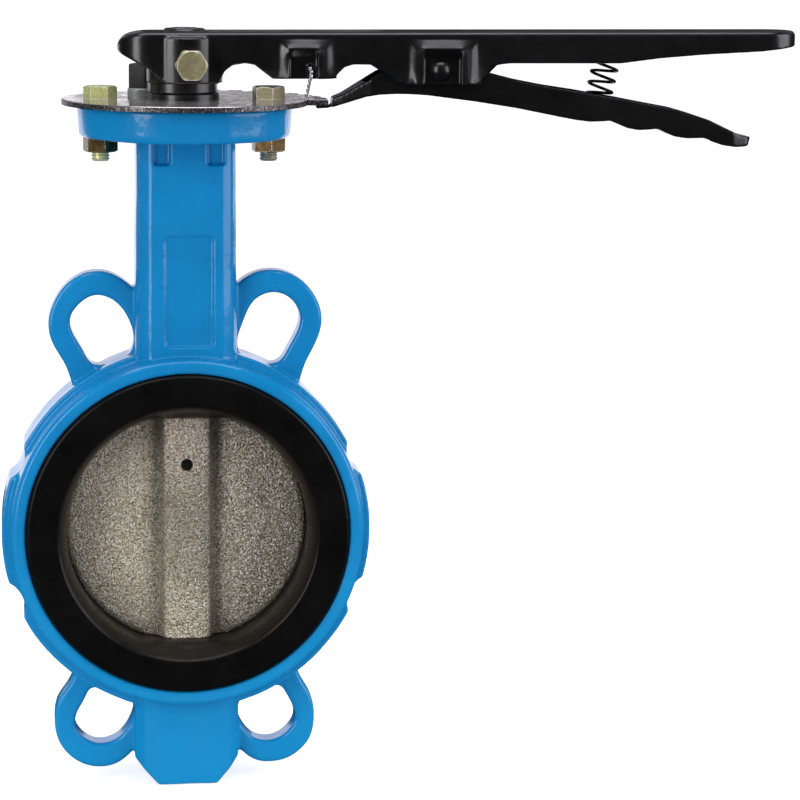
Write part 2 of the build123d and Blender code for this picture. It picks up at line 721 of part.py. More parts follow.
clamp_seat_y = 16.25        # the head's underside is this far towards -Y
clamp_end_y = -clamp_seat_y - head_h
clamp_edge_z = clamp_z + hex_half
with BuildPart() as clamp_bolt:
    with BuildSketch(Plane.XZ.offset(clamp_seat_y)):
        with Locations((clamp_x, clamp_z)):
            RegularPolygon(hex_half, 6, major_radius=False, rotation=0)
    extrude(amount=head_h)
    # chamfered corners of the head
    with BuildSketch(Plane.YZ.offset(clamp_x)):
        with BuildLine():
            Polyline(
                (clamp_end_y, clamp_edge_z - 0.2), (clamp_end_y + 0.8, clamp_edge_z + 0.6),
                (-16.2, clamp_edge_z + 0.7), (-16.2, clamp_edge_z + 1.4),
                (clamp_end_y - 0.5, clamp_edge_z + 1.4),
                (clamp_end_y - 0.5, clamp_edge_z - 0.2),
                close=True,
            )
        make_face()
    revolve(axis=Axis((clamp_x, 0, clamp_z), (0, 1, 0)), mode=Mode.SUBTRACT)
    with BuildSketch(Plane.XZ.offset(5.6)):
        with Locations((clamp_x, clamp_z)):
            Circle(bolt_shank_r)
    extrude(amount=11)
save(clamp_bolt, "clamp_bolt")

# =====================================================================
# TRIGGER: channel open at the top, hinged inside the handle
# =====================================================================
# (x, z) along the underside, away from the hub
trigger_under = [
    (55.4, 178.1), (60.7, 178.5), (65.7, 180.2), (70.8, 181.9), (75.9, 183.6),
    (81.0, 184.5), (88.6, 184.9), (94.0, 184.8), (101.4, 184.4), (110.0, 183.3),
    (121.9, 181.8), (139.9, 179.0), (152.0, 176.6), (160.0, 175.0), (166.0, 173.9),
    (172.0, 173.2), (177.0, 173.4), (180.6, 173.6), (184.0, 172.2), (188.0, 170.5),
    (193.0, 169.6), (197.5, 169.9), (201.3, 170.2), (204.4, 168.6), (208.6, 166.9),
    (214.0, 166.1), (218.5, 166.2), (221.9, 166.3), (225.0, 164.7), (229.5, 163.2),
    (235.5, 162.3), (241.2, 162.6),
]
# (x, z) along the upper edge, back towards the hub
trigger_over = [
    (242.6, 166.5), (237.6, 167.4), (230.5, 170.7), (223.3, 174.1), (216.0, 176.5),
    (209.2, 178.4), (195.0, 181.0), (184.6, 183.0), (167.0, 186.0), (153.0, 188.1),
    (141.0, 190.4), (130.0, 193.2), (121.0, 197.0), (113.0, 200.4), (101.0, 200.4),
    (92.0, 198.0), (81.8, 193.7), (76.7, 190.6), (71.7, 187.7), (66.6, 184.7),
    (62.2, 183.0), (61.7, 179.7), (55.4, 179.7),
]
# (x, y) along the -Y side, seen from above
trigger_plan_half = [
    (54, -2.0), (61.7, -2.0), (61.7, -5.5), (66.0, -7.0), (78.0, -10.1),
    (234.0, -10.1), (240.5, -8.4), (243.5, -4.5),
]
trigger_floor_t = 2.5       # measured upright
hollow = [(x, z + trigger_floor_t) for x, z in trigger_under if 75.0 < x < 234.0]
with BuildPart() as trigger:
    with BuildSketch(Plane.XZ):
        with BuildLine():
            Polyline(*trigger_under, *trigger_over, close=True)
        make_face()
    extrude(amount=12, both=True)
    with BuildSketch(Plane.XY.offset(150)):
        with BuildLine():
            Polyline(*mirrored(trigger_plan_half), close=True)
        make_face()
    extrude(amount=60, mode=Mode.INTERSECT)
    # the hollow of the channel
    with BuildSketch(Plane.XZ):
        with BuildLine():
            Polyline(
                *hollow, (hollow[-1][0] + 3, 210), (hollow[0][0], 210), close=True
            )
        make_face()
    extrude(amount=7.7, both=True, mode=Mode.SUBTRACT)
    with BuildSketch(Plane.XZ):
        with Locations((pivot_x, pivot_z)):
            Circle(pivot_r + running)
    extrude(amount=20, both=True, mode=Mode.SUBTRACT)
save(trigger, "trigger")

# hinge pin, with a domed head at each end
pivot_half_y = handle_half_y + 0.05
with BuildPart() as trigger_pin:
    with BuildSketch(Plane.XZ.offset(-pivot_half_y)):
        with Locations((pivot_x, pivot_z)):
            Circle(pivot_r)
    extrude(amount=2 * pivot_half_y)
    for side in (-1, 1):
        with BuildSketch(Plane.XZ.offset(side * pivot_half_y)):
            with Locations((pivot_x, pivot_z)):
                Circle(4.5)
        extrude(amount=side * 2.6)
    fillet(trigger_pin.faces().sort_by(Axis.Y)[0].edges(), 2.3)
    fillet(trigger_pin.faces().sort_by(Axis.Y)[-1].edges(), 2.3)
save(trigger_pin, "trigger_pin")

# return spring, leaning with the trigger's floor
spring_low = Vector(175.8, 0, 178.1)
spring_high = Vector(182.0, 0, 207.6)
spring_line = spring_high - spring_low
spring_turns = 7.25
with BuildPart() as trigger_spring:
    with BuildLine():
        coil = Helix(
            pitch=spring_line.length / spring_turns, height=spring_line.length,
            radius=5.4, center=spring_low, direction=spring_line,
        )
    with BuildSketch(Plane(origin=coil @ 0, z_dir=coil % 0)):
        Circle(0.6)
    sweep(is_frenet=True)
save(trigger_spring, "trigger_spring")

# an open loop of lock wire by the -Y cheek, at the swelling nearer the hub
with BuildPart() as lock_wire:
    with BuildLine():
        loop = Spline(
            (50.7, -13.4, 184.6), (51.1, -15.6, 188.4), (51.4, -15.6, 193.4),
            (51.6, -11.7, 196.4), (51.5, -8.7, 193.2), (51.1, -9.2, 188.2),
            (50.9, -12.0, 185.0),
        )
    with BuildSketch(Plane(origin=loop @ 0, z_dir=loop % 0)):
        Circle(0.45)
    sweep()
save(lock_wire, "lock_wire")
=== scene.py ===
"""Butterfly valve with a lever handle and a sprung trigger.

The bore runs along Y with its centre at the origin and the stem rises along Z. The handle
reaches along +X at about z = 0.195. The camera stands on the -Y side. Geometry is in metres;
names and comments say so where a value is in millimetres.
"""
import json
import math
import bmesh
import bpy
import numpy as np
from mathutils import Matrix, Vector


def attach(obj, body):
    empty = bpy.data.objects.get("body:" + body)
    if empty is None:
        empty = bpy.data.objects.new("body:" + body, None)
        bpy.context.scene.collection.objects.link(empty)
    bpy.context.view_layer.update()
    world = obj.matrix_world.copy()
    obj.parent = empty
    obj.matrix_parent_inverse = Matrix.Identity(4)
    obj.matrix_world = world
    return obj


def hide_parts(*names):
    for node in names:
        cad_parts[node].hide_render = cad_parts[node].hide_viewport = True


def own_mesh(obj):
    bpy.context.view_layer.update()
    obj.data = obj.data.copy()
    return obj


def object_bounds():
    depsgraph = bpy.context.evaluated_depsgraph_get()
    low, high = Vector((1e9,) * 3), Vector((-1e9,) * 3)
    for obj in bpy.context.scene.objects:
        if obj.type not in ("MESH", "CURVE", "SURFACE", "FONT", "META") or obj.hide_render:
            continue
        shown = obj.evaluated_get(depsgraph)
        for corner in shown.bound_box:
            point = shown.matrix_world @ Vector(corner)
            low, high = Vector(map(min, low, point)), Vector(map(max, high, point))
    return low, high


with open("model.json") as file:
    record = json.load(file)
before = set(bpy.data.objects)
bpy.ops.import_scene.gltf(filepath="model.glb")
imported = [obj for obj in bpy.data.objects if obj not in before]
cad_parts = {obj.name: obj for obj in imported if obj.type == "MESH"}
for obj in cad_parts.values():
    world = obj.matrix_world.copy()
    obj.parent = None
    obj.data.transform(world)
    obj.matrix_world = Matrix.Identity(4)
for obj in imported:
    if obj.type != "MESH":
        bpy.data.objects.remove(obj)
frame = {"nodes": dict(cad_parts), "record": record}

MM = 0.001
cad_low, cad_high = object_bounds()
nodes = frame["nodes"]
scene = bpy.context.scene


# ---------------------------------------------------------------- mesh helpers
def add_object(name, data):
    obj = bpy.data.objects.new(name, data)
    scene.collection.objects.link(obj)
    return obj


def bake(obj):
    """Applies every modifier on a piece."""
    graph = bpy.context.evaluated_depsgraph_get()
    graph.update()
    mesh = bpy.data.meshes.new_from_object(
        obj.evaluated_get(graph), preserve_all_data_layers=False, depsgraph=graph)
    obj.modifiers.clear()
    obj.data = mesh


def smooth_shade(obj):
    mesh = obj.data
    mesh.polygons.foreach_set("use_smooth", np.full(len(mesh.polygons), True))
    mesh.update()


def dress(obj, material):
    obj.data.materials.clear()
    obj.data.materials.append(material)


def read_vertices(obj, what="co"):
    """One row of x, y, z for each vertex: its place ("co") or its "normal"."""
    values = np.zeros(len(obj.data.vertices) * 3, np.float32)
    obj.data.vertices.foreach_get(what, values)
    return values.reshape(-1, 3).astype(float)


def move_vertices(obj, places):
    obj.data.vertices.foreach_set("co", places.astype(np.float32).ravel())
    obj.data.update()


def push_out(obj, height_mm):
    """Moves every vertex along its normal."""
    offset = read_vertices(obj, "normal") * (height_mm * MM)[:, None]
    move_vertices(obj, read_vertices(obj) + offset)


def relax(obj, values, rounds, keep=None):
    """Laplacian smoothing: each row moves towards the mean of its neighbours.

    Rows where keep is 1 stay put.
    """
    edges = np.zeros(len(obj.data.edges) * 2, np.int64)
    obj.data.edges.foreach_get("vertices", edges)
    edges = edges.reshape(-1, 2)
    size = len(values)
    neighbours = np.bincount(edges.ravel(), minlength=size).astype(float)
    neighbours[neighbours == 0] = 1
    weight = 0.5 if keep is None else 0.5 * (1 - keep)[:, None]
    for _ in range(rounds):
        total = np.zeros_like(values)
        for k in range(values.shape[1]):
            total[:, k] = (
                np.bincount(edges[:, 0], values[edges[:, 1], k], size)
                + np.bincount(edges[:, 1], values[edges[:, 0], k], size)
            )
        values = values + weight * (total / neighbours[:, None] - values)
    return values


def value_noise(points, scale, seed):
    """Smooth value noise, about +-1, with features of 1/scale metres."""
    scaled = points * scale + seed * 17.31
    base = np.floor(scaled).astype(np.int64)
    part = scaled - base
    part = part * part * (3 - 2 * part)
    total = np.zeros(len(points))
    for corner in np.ndindex(2, 2, 2):
        x, y, z = (base + np.array(corner)).T
        # integer hash of the cell corner, brought to -1..1
        code = (x * 73856093) ^ (y * 19349663) ^ (z * 83492791) ^ (seed * 2654435)
        code = (code ^ (code >> 13)) * 1274126177
        height = ((code ^ (code >> 16)) & 0xFFFF) / 32767.5 - 1.0
        share = np.where(corner, part, 1 - part)
        total += share[:, 0] * share[:, 1] * share[:, 2] * height
    return total


def fade_in(distance, over):
    """0 where distance is negative, rising to 1 once it reaches `over`."""
    return np.clip(distance / over, 0, 1)


# ------------------------------------------------------------- shader builders
class Tree:
    """Adds nodes to a node tree. Any input may be a socket, a number or a colour."""

    def __init__(self, owner):
        owner.use_nodes = True
        self.tree = owner.node_tree

    def feed(self, socket, value):
        if isinstance(value, bpy.types.NodeSocket):
            self.tree.links.new(value, socket)
        elif socket.type == "RGBA":
            colour = value if hasattr(value, "__len__") else (value, value, value)
            socket.default_value = (*colour, 1)
        else:
            socket.default_value = value

    def node(self, kind, inputs=None, **settings):
        """A node with its settings, then its inputs, keyed by name or index."""
        node = self.tree.nodes.new("ShaderNode" + kind)
        for name, value in settings.items():
            setattr(node, name, value)
        for key, value in (inputs or {}).items():
            self.feed(node.inputs[key], value)
        return node

    def ramp(self, factor, stops, interpolation="LINEAR"):
        """stops: (position, grey or colour)."""
        node = self.node("ValToRGB")
        node.color_ramp.interpolation = interpolation
        elements = node.color_ramp.elements
        while len(elements) < len(stops):
            elements.new(0.5)
        for k, (position, colour) in enumerate(stops):
            elements[k].position = position
            if not hasattr(colour, "__len__"):
                colour = (colour, colour, colour)
            elements[k].color = (*colour, 1)
        self.feed(node.inputs["Fac"], factor)
        return node.outputs["Color"]

    def fade(self, factor, start=0.3, end=0.7, first=0.0, last=1.0):
        """A ramp from first, where factor is start, to last, where it is end."""
        return self.ramp(factor, [(start, first), (end, last)])

    def math(self, operation, *values, clamp=False):
        inputs = dict(enumerate(values))
        return self.node("Math", inputs, operation=operation, use_clamp=clamp).outputs[0]

    def mix(self, factor, first, second, mode="MIX"):
        inputs = {0: factor, 6: first, 7: second}
        return self.node("Mix", inputs, data_type="RGBA", blend_type=mode).outputs[2]

    def split(self, vector):
        """The x, y and z sockets of a vector."""
        return self.node("SeparateXYZ", {0: vector}).outputs


class Material(Tree):
    """A Principled material. Textures use the object's own coordinates in millimetres."""

    def __init__(self, name):
        self.material = bpy.data.materials.new(name)
        super().__init__(self.material)
        self.principled = self.tree.nodes["Principled BSDF"]
        self.normal = None
        place = self.node("TexCoord").outputs["Object"]
        scaled = self.node("VectorMath", {0: place, "Scale": 1000.0}, operation="SCALE")
        self.mm = scaled.outputs[0]

    def put(self, **inputs):
        """Feeds the Principled shader."""
        for name, value in inputs.items():
            self.feed(self.principled.inputs[name.replace("_", " ")], value)

    def noise(self, scale, detail=4.0, rough=0.55, distort=0.0, stretch=None):
        """Noise; stretch scales the coordinates along x, y and z first."""
        vector = self.mm
        if stretch:
            vector = self.node("Mapping", {"Scale": stretch, "Vector": vector}).outputs["Vector"]
        return self.node("TexNoise", {
            "Scale": scale, "Detail": detail, "Roughness": rough, "Distortion": distort,
            "Vector": vector}).outputs["Fac"]

    def voronoi(self, scale, feature="F1", output="Distance"):
        inputs = {"Scale": scale, "Vector": self.mm}
        return self.node("TexVoronoi", inputs, feature=feature).outputs[output]

    def tint(self, base, colour, mask, amount):
        """base with some of colour over it where mask is bright."""
        return self.mix(self.math("MULTIPLY", mask, amount), base, colour)

    def span(self, value, stops):
        """An eased ramp over a value in millimetres; stops: (millimetres, grey)."""
        low, high = stops[0][0], stops[-1][0]
        factor = self.math("DIVIDE", self.math("SUBTRACT", value, low), high - low, clamp=True)
        return self.ramp(factor, [((at - low) / (high - low), grey) for at, grey in stops], "EASE")

    def geometry(self, output):
        return self.node("NewGeometry").outputs[output]

    def edges(self, start, end):
        """1 on convex edges of a fine mesh, 0 elsewhere."""
        return self.fade(self.geometry("Pointiness"), start, end)

    def creases(self, start, end):
        """1 in the hollows of a fine mesh, 0 elsewhere."""
        return self.fade(self.geometry("Pointiness"), start, end, first=1.0, last=0.0)

    def bevel(self, radius):
        """A normal that rounds sharp edges; radius in mm."""
        return self.node("Bevel", {"Radius": radius * MM}, samples=6).outputs[0]

    def sharp_edges(self, radius, start=0.02, end=0.22):
        """1 near sharp edges of any mesh, from how far the bevel bends the normal."""
        normals = {0: self.bevel(radius), 1: self.geometry("Normal")}
        bent = self.node("VectorMath", normals, operation="DOT_PRODUCT").outputs["Value"]
        return self.fade(self.math("SUBTRACT", 1.0, bent), start, end)

    def round_edges(self, radius):
        """Rounds sharp edges in the shading, below the bumps added later."""
        self.normal = self.bevel(radius)

    def bump(self, height, depth, strength):
        """Adds a bump, depth in mm, over the earlier ones."""
        inputs = {"Strength": strength, "Distance": depth * MM, "Height": height}
        if self.normal is not None:
            inputs["Normal"] = self.normal
        self.normal = self.node("Bump", inputs).outputs["Normal"]
        self.put(Normal=self.normal)


# ------------------------------------------------------------------- materials
def blue_epoxy():
    """Glossy paint, with painted shade in the creases, a painted highlight on edges and painted
    bounce light low on the body.
    """
    mat = Material("blue_epoxy")
    base = mat.fade(mat.noise(scale=0.035, detail=3),
                    first=(0.0022, 0.196, 0.468), last=(0.0040, 0.238, 0.545))
    # painted shade: darker blue in the creases
    base = mat.tint(base, (0.002, 0.105, 0.36), mat.creases(start=0.40, end=0.485), amount=0.55)
    # painted highlight: paler blue on convex edges
    base = mat.tint(base, (0.03, 0.34, 0.74), mat.edges(start=0.515, end=0.60), amount=0.30)
    dust = mat.fade(mat.noise(scale=2.6, detail=2), start=0.735, end=0.80)
    base = mat.tint(base, (0.25, 0.45, 0.70), dust, amount=0.18)
    # painted bounce light: paler blue low on the body, as if lit from the white floor
    height = mat.split(mat.mm)[2]
    painted_floor_bounce = mat.span(height, [(-115, 1.0), (-45, 0.62), (20, 0.0)])
    base = mat.tint(base, (0.008, 0.315, 0.665), painted_floor_bounce, amount=0.85)
    mat.put(Base_Color=base, Roughness=mat.fade(mat.noise(scale=0.06), first=0.20, last=0.34),
            Specular_IOR_Level=0.22, Coat_Weight=0.50, Coat_Roughness=0.045, Coat_IOR=1.45)
    mat.bump(mat.noise(scale=0.10, detail=3), depth=0.45, strength=0.35)
    mat.bump(mat.noise(scale=0.55, detail=2), depth=0.05, strength=0.45)
    mat.bump(mat.noise(scale=0.9, detail=3), depth=0.012, strength=0.5)
    mat.put(Coat_Normal=mat.normal)
    return mat.material


def black_epdm():
    """Black rubber with a faint bloom, and a painted brown reflection inside the bore."""
    mat = Material("black_epdm")
    base = mat.fade(mat.noise(scale=0.05, detail=5, rough=0.6), end=0.75,
                    first=(0.0022, 0.0021, 0.0022), last=(0.0055, 0.0052, 0.0050))
    bloom = mat.fade(mat.noise(scale=0.22, detail=6, rough=0.7), start=0.55, end=0.85)
    base = mat.tint(base, (0.030, 0.029, 0.029), bloom, amount=0.11)
    # painted reflection: a brown tint inside the bore stands for the disc reflected in the rubber
    x, _, z = mat.split(mat.mm)
    square = mat.math("ADD", mat.math("MULTIPLY", x, x), mat.math("MULTIPLY", z, z))
    bore = mat.span(mat.math("SQRT", square), [(53.5, 1.0), (55.8, 0.0)])
    base = mat.tint(base, (0.0155, 0.0120, 0.0088), bore, amount=0.8)
    specks = mat.fade(mat.voronoi(scale=0.45), start=0.018, end=0.035, first=1.0, last=0.0)
    base = mat.tint(base, (0.14, 0.14, 0.15), specks, amount=0.22)
    roughness = mat.fade(mat.noise(scale=0.12, detail=5), first=0.24, last=0.38)
    mat.put(Base_Color=base, Roughness=roughness, Specular_IOR_Level=0.22)
    mat.bump(mat.noise(scale=0.16, detail=2), depth=0.25, strength=0.25)
    mat.bump(mat.noise(scale=2.2, rough=0.65), depth=0.02, strength=0.45)
    return mat.material


def nickel_iron():
    """As-cast skin under bright nickel, with painted light: each grain gets its own painted shade,
    some get painted glints, and the hub rib and creases get painted shade.
    """
    mat = Material("nickel_iron")
    x, y, z = mat.split(mat.mm)
    grain = mat.noise(scale=1.30, detail=3, rough=0.6)
    facet = mat.voronoi(scale=1.90, output="Color")
    base = mat.fade(mat.noise(scale=0.045, rough=0.6),
                    first=(0.78, 0.695, 0.500), last=(1.0, 0.905, 0.675))
    # painted shade: the disc darkens towards +X, as if lit from the -X side
    painted_side_shade = mat.span(x, [(-52, 0.86), (-32, 1.0), (-8, 1.0), (16, 0.76), (28, 0.60), (50, 0.55)])
    base = mat.mix(1.0, base, painted_side_shade, "MULTIPLY")
    dark_grain = mat.fade(grain, start=0.36, end=0.48, first=0.80, last=0.0)
    base = mat.mix(dark_grain, base, (0.085, 0.068, 0.042))
    # painted shade per grain: each voronoi cell dimmed by its own amount
    painted_facet_shade = mat.ramp(facet, [
        (0.30, (0.46, 0.44, 0.40)), (0.46, (0.84, 0.82, 0.79)), (0.60, (1.0, 0.99, 0.97))])
    base = mat.mix(1.0, base, painted_facet_shade, "MULTIPLY")
    # painted glints: near-white spots where bright cells meet raised grain
    bright = mat.math("MULTIPLY", mat.fade(facet, start=0.60, end=0.66),
                      mat.fade(grain, start=0.45, end=0.52))
    base = mat.mix(bright, base, (1.0, 0.98, 0.92))
    # painted shade: the flanks of the hub rib and its face are darkened more than the plate
    flank = mat.span(mat.math("ABSOLUTE", x),
                     [(8.6, 0.0), (10.2, 0.85), (12.8, 1.0), (16.5, 0.25), (21.0, 0.0)])
    tall = mat.span(z, [(-48, 0.72), (-20, 0.62), (15, 0.80), (46, 1.0)])
    shade = mat.math("MULTIPLY", flank, tall)
    base = mat.tint(base, (0.030, 0.025, 0.019), shade, amount=0.80)
    # painted shade on the rib's face, strongest in the middle
    crown = mat.span(mat.math("ABSOLUTE", y), [(9.5, 0.0), (12.0, 1.0)])
    middle = mat.span(z, [(-47, 0.0), (-34, 0.06), (-12, 0.38), (6, 0.48), (20, 0.28), (32, 0.0)])
    base = mat.tint(base, (0.10, 0.088, 0.068), crown, amount=middle)
    # painted reflection: a lilac tint on the top of the rib's face
    painted_lilac_reflection = mat.math("MULTIPLY", crown, mat.span(z, [(14, 0.0), (34, 0.55)]))
    base = mat.mix(painted_lilac_reflection, base, (0.90, 0.84, 0.93), "MULTIPLY")
    # painted shade: darker in the creases
    base = mat.tint(base, (0.05, 0.042, 0.030), mat.creases(start=0.38, end=0.49), amount=0.70)
    roughness = mat.fade(facet, start=0.30, end=0.62, first=0.46, last=0.16)
    mat.put(Base_Color=base, Metallic=0.42, Roughness=roughness, Specular_IOR_Level=0.75)
    mat.bump(mat.voronoi(scale=1.30, feature="SMOOTH_F1"), depth=0.50, strength=0.70)
    mat.bump(grain, depth=0.75, strength=0.95)
    mat.bump(mat.noise(scale=3.2, detail=3), depth=0.10, strength=0.6)
    return mat.material


def black_gloss():
    """Black gloss coating, dusty, scratched and a little worn on its edges."""
    mat = Material("black_gloss")
    base = mat.fade(mat.noise(scale=0.04),
                    first=(0.0020, 0.0018, 0.0020), last=(0.0048, 0.0043, 0.0047))
    dust = mat.fade(mat.noise(scale=1.7, detail=3), start=0.70, end=0.78)
    base = mat.tint(base, (0.16, 0.15, 0.16), dust, amount=0.10)
    patches = mat.fade(mat.noise(scale=0.35, detail=5, rough=0.7), start=0.50, end=0.66)
    worn = mat.math("MULTIPLY", mat.edges(start=0.535, end=0.64), patches)
    base = mat.tint(base, (0.10, 0.097, 0.10), worn, amount=0.35)
    mat.put(Base_Color=base, Specular_IOR_Level=0.5, Coat_Weight=0.50,
            Roughness=mat.fade(mat.noise(scale=0.10, detail=5), first=0.26, last=0.40),
            Coat_Roughness=mat.fade(mat.noise(scale=0.05, detail=3), first=0.13, last=0.23))
    scratch = mat.noise(scale=0.9, detail=2, rough=0.5, distort=0.4, stretch=(0.05, 0.6, 2.4))
    mat.bump(mat.noise(scale=0.07, detail=2), depth=0.40, strength=0.30)
    mat.bump(mat.noise(scale=0.7, detail=2), depth=0.035, strength=0.40)
    mat.bump(scratch, depth=0.010, strength=0.30)
    mat.put(Coat_Normal=mat.normal)
    return mat.material


def steel(name, dark, light, smooth, rough, metallic=1.0, grain=1.6, depth=0.03, rounding=0.25,
          spots=None, edge_wear_and_highlight=None, edge=0.35, turned=None, painted_end_light=()):
    """Metal mottled from dark to light, its roughness between smooth and rough.

    grain, depth: scale and depth (mm) of the surface bump. rounding: edge radius (mm).
    spots: colour of patches. The edge colour and edge: colour and reach (mm) of lighter edges,
    partly rubbed, partly a painted highlight.
    turned: stretch of the turning marks. The end colours: (stops along x in mm, colour), painted
    light and shade laid on along x.
    """
    mat = Material(name)
    base = mat.fade(mat.noise(scale=0.16, detail=5, rough=0.6), start=0.32, end=0.68,
                    first=dark, last=light)
    if spots:
        patch = mat.fade(mat.noise(scale=0.30, rough=0.6, distort=0.6), start=0.46, end=0.62)
        base = mat.tint(base, spots, patch, amount=0.7)
    # painted light and shade: colours laid on along x, so one end looks lit and the other shaded
    for stops, colour in painted_end_light:
        base = mat.tint(base, colour, mat.span(mat.split(mat.mm)[0], stops), amount=0.8)
    # lighter edges: rubbed, and in the zinc and nut finishes a painted highlight
    if edge_wear_and_highlight:
        # a wide rim needs a lower threshold to show
        limits = {"start": 0.006, "end": 0.07} if edge > 0.4 else {}
        base = mat.tint(base, edge_wear_and_highlight, mat.sharp_edges(edge, **limits), amount=0.75)
    mat.put(Base_Color=base, Metallic=metallic,
            Roughness=mat.fade(mat.noise(scale=0.5), first=smooth, last=rough))
    if rounding:
        mat.round_edges(rounding)
    mat.bump(mat.noise(scale=grain, rough=0.6), depth=depth, strength=0.5)
    if turned:
        marks = mat.noise(scale=3.0, detail=2, rough=0.5, stretch=turned)
        mat.bump(marks, depth=0.02, strength=0.45)
    return mat.material


def polished_plate():
    """Stained, scuffed bright plate with rough sheared sides."""
    mat = Material("polished_plate")
    base = mat.fade(mat.noise(scale=0.05, rough=0.6, distort=0.5),
                    first=(0.50, 0.49, 0.49), last=(0.74, 0.725, 0.73))
    stain = mat.fade(mat.noise(scale=0.12, detail=6, rough=0.7, distort=1.0), start=0.55, end=0.74)
    base = mat.tint(base, (0.30, 0.28, 0.27), stain, amount=0.45)
    scuff = mat.noise(scale=0.35, detail=3, rough=0.6, distort=2.5, stretch=(0.25, 1.6, 1.0))
    scuff = mat.fade(scuff, start=0.60, end=0.66)
    base = mat.tint(base, (0.95, 0.95, 0.97), scuff, amount=0.55)
    upward = mat.split(mat.geometry("True Normal"))["Z"]
    side = mat.fade(upward, start=0.35, end=0.75, first=1.0, last=0.0)
    sheared = mat.ramp(mat.noise(scale=1.9, rough=0.75, stretch=(1.0, 1.0, 0.7)), [
        (0.46, (0.045, 0.040, 0.040)), (0.56, (0.20, 0.185, 0.185)), (0.66, (0.90, 0.88, 0.88))])
    base = mat.mix(side, base, sheared)
    top_roughness = mat.fade(mat.noise(scale=0.18, detail=5), first=0.10, last=0.24)
    side_roughness = 0.42
    mat.put(Base_Color=base, Metallic=0.85,
            Roughness=mat.mix(side, top_roughness, side_roughness))
    mat.round_edges(radius=0.2)
    brush = mat.noise(scale=1.0, detail=3, rough=0.6, stretch=(0.12, 3.5, 1.0))
    mat.bump(mat.noise(scale=0.085, detail=2), depth=0.16, strength=0.35)
    mat.bump(brush, depth=0.006, strength=0.35)
    mat.bump(mat.noise(scale=2.8, detail=3), depth=0.004, strength=0.4)
    return mat.material


def post_steel():
    """Blackened bar; its +X side is painted light grey with vertical streaks, as painted light
    from that side.
    """
    mat = Material("post_steel")
    base = mat.fade(mat.noise(scale=0.30, rough=0.6), start=0.35, end=0.65,
                    first=(0.014, 0.014, 0.015), last=(0.034, 0.033, 0.034))
    # painted light: faces turned to +X are lighter grey, streaked and a little metallic
    painted_lit_side = mat.fade(mat.split(mat.geometry("Normal"))["X"], start=0.45, end=0.75)
    painted_lit_streaks = mat.fade(mat.noise(scale=1.2, detail=3, rough=0.6, stretch=(1.0, 1.0, 0.15)),
                     start=0.40, end=0.62, first=(0.17, 0.17, 0.165), last=(0.33, 0.33, 0.32))
    base = mat.mix(painted_lit_side, base, painted_lit_streaks)
    base = mat.tint(base, (0.16, 0.16, 0.165), mat.sharp_edges(radius=0.5), amount=0.5)
    mat.put(Base_Color=base, Metallic=mat.math("MULTIPLY", painted_lit_side, 0.3), Roughness=0.42,
            Specular_IOR_Level=0.20)
    mat.round_edges(radius=0.3)
    mat.bump(mat.noise(scale=1.6, rough=0.6), depth=0.04, strength=0.5)
    return mat.material


LEFT_END = [(-28, 1.0), (-24, 0.0)]  # stops for painted light and shade at the ends: x in mm, strength
RIGHT_END = [(20, 0.0), (28, 1.0)]

MATERIALS = {
    "blue_epoxy": blue_epoxy(),
    "black_epdm": black_epdm(),
    "nickel_iron": nickel_iron(),
    "dark_steel": steel("dark_steel", dark=(0.035, 0.033, 0.032), light=(0.09, 0.085, 0.08),
                        smooth=0.35, rough=0.55),
    "stainless": steel("stainless", dark=(0.42, 0.41, 0.40), light=(0.58, 0.57, 0.56),
                       smooth=0.18, rough=0.34, turned=(0.05, 0.05, 3.0)),
    "bronze_bush": steel("bronze_bush", dark=(0.38, 0.24, 0.09), light=(0.55, 0.37, 0.17),
                         smooth=0.30, rough=0.5),
    "spring_steel": steel("spring_steel", dark=(0.010, 0.010, 0.011), light=(0.030, 0.029, 0.030),
                          smooth=0.22, rough=0.40, grain=3.0, rounding=None),
    "polished_plate": polished_plate(),
    "yellow_zinc": steel("yellow_zinc", dark=(0.36, 0.325, 0.155), light=(0.62, 0.59, 0.37),
                         smooth=0.20, rough=0.40, metallic=0.58, depth=0.07,
                         # the bright edge ring is a painted highlight on the chamfer
                         spots=(0.40, 0.33, 0.20), edge_wear_and_highlight=(0.98, 0.97, 0.84), edge=0.85,
                         # painted highlight: bright yellow at the left end; painted shade: darker
                         # at the right end
                         painted_end_light=[(LEFT_END, (0.96, 1.0, 0.42)),
                                  (RIGHT_END, (0.21, 0.175, 0.105))]),
    "plated_nut": steel("plated_nut", dark=(0.050, 0.028, 0.010), light=(0.22, 0.175, 0.072),
                        smooth=0.16, rough=0.32, metallic=0.90, depth=0.05,
                        # bright edges: painted highlight
                        spots=(0.085, 0.036, 0.015), edge_wear_and_highlight=(0.86, 0.84, 0.58), edge=0.5,
                        # painted shade: darker at the right end
                        painted_end_light=[(RIGHT_END, (0.052, 0.030, 0.012))]),
    "grey_zinc": steel("grey_zinc", dark=(0.32, 0.34, 0.33), light=(0.46, 0.48, 0.46),
                       smooth=0.34, rough=0.50, metallic=0.55, edge_wear_and_highlight=(0.62, 0.64, 0.62)),
    "post_steel": post_steel(),
    "black_gloss": black_gloss(),
    "bright_wire": steel("bright_wire", dark=(0.62, 0.62, 0.64), light=(0.86, 0.86, 0.88),
                         smooth=0.12, rough=0.26, grain=2.5, rounding=None),
}


